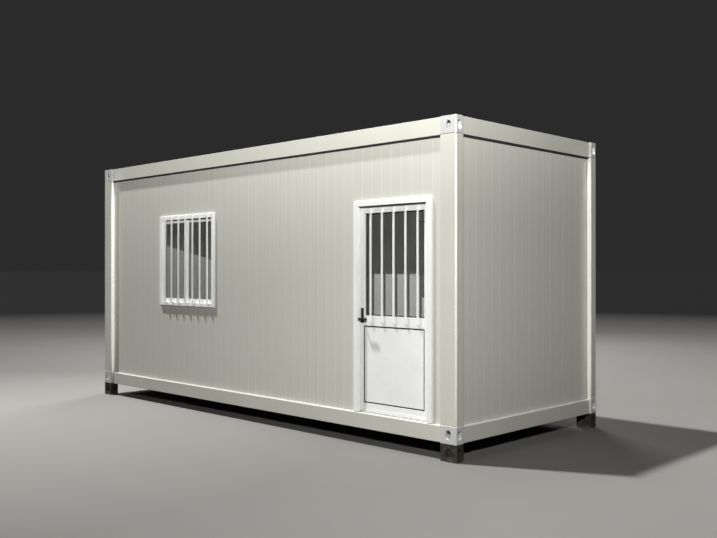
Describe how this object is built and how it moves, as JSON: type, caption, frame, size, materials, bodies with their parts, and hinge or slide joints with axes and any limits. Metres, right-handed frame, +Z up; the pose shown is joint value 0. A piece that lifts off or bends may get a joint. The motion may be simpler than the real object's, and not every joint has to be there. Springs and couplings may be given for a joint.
{
  "type": "container house",
  "caption": "Box-shaped container house on base blocks, with a steel corner frame, ribbed panel walls, a glazed door that swings and barred sliding windows.",
  "frame": {"origin": "on the ground, under the middle of the house", "axes": "+X along the house towards the door end, -Y the front with the door, +Z up"},
  "size_m": [6.058, 2.438, 3.054],
  "materials": {
    "base_steel": "dark satin paint",
    "casting_steel": "white satin paint on cast steel",
    "frame_steel": "cream-white satin paint on folded steel",
    "joist_steel": "galvanised",
    "floor_board": "grey sheet floor on board",
    "ceiling_board": "white faced panel",
    "roof_steel": "grey-white coated steel sheet",
    "wall_panel": "off-white coated steel faces with fine upright ribs",
    "seal_rubber": "black seal",
    "window_white": "white satin profile",
    "window_glass": "clear float glass",
    "bar_steel": "white painted square bar",
    "door_white": "white satin profile",
    "threshold_metal": "mill finish",
    "handle_black": "black satin",
    "hinge_steel": "satin steel"
  },
  "bodies": {
    "cabin": {"base_blocks": "base_steel", "bottom_corner_castings": "casting_steel", "top_corner_castings": "casting_steel", "corner_posts": "frame_steel", "front_bottom_rail": "frame_steel", "back_bottom_rail": "frame_steel", "left_bottom_rail": "frame_steel", "right_bottom_rail": "frame_steel", "front_top_rail": "frame_steel", "back_top_rail": "frame_steel", "left_top_rail": "frame_steel", "right_top_rail": "frame_steel", "floor_joists": "joist_steel", "floor_deck": "floor_board", "ceiling_panel": "ceiling_board", "roof_sheet": "roof_steel", "front_wall_panels": "wall_panel", "front_window_panels": "wall_panel", "front_door_side_panels": "wall_panel", "front_door_head_panel": "wall_panel", "back_wall_panels": "wall_panel", "back_window_panels": "wall_panel", "left_wall_panels": "wall_panel", "right_wall_panels": "wall_panel", "wall_top_seals": "seal_rubber", "window_head_seals": "seal_rubber", "door_head_seal": "seal_rubber", "front_window_frame": "window_white", "front_window_sashes": "window_white", "back_window_frame": "window_white", "back_window_sashes": "window_white", "front_window_glass": "window_glass", "back_window_glass": "window_glass", "front_window_grille": "bar_steel", "back_window_grille": "bar_steel", "door_jambs": "door_white", "door_head": "door_white", "door_threshold": "threshold_metal", "door_hinge_frame_halves": "hinge_steel"},
    "door": {"door_leaf_frame": "door_white", "door_gaskets": "seal_rubber", "door_lower_panel": "door_white", "door_glass": "window_glass", "door_grille": "bar_steel", "door_handle_plates": "handle_black", "door_hinge_leaf_halves": "hinge_steel"},
    "lever": {"door_lever": "handle_black"}
  },
  "joints": [
    {"name": "door_hinge", "type": "hinge", "parent": "cabin", "child": "door", "pos_m": [2.6565, -1.092, 1.3], "axis": [0, 0, -1], "range_deg": [0, 90]},
    {"name": "lever_turn", "type": "hinge", "parent": "door", "child": "lever", "pos_m": [1.825, -1.125, 1.216], "axis": [0, 1, 0], "range_deg": [0, 45], "stiffness_Nm_per_rad": 1, "springref_deg": -28.65}
  ]
}
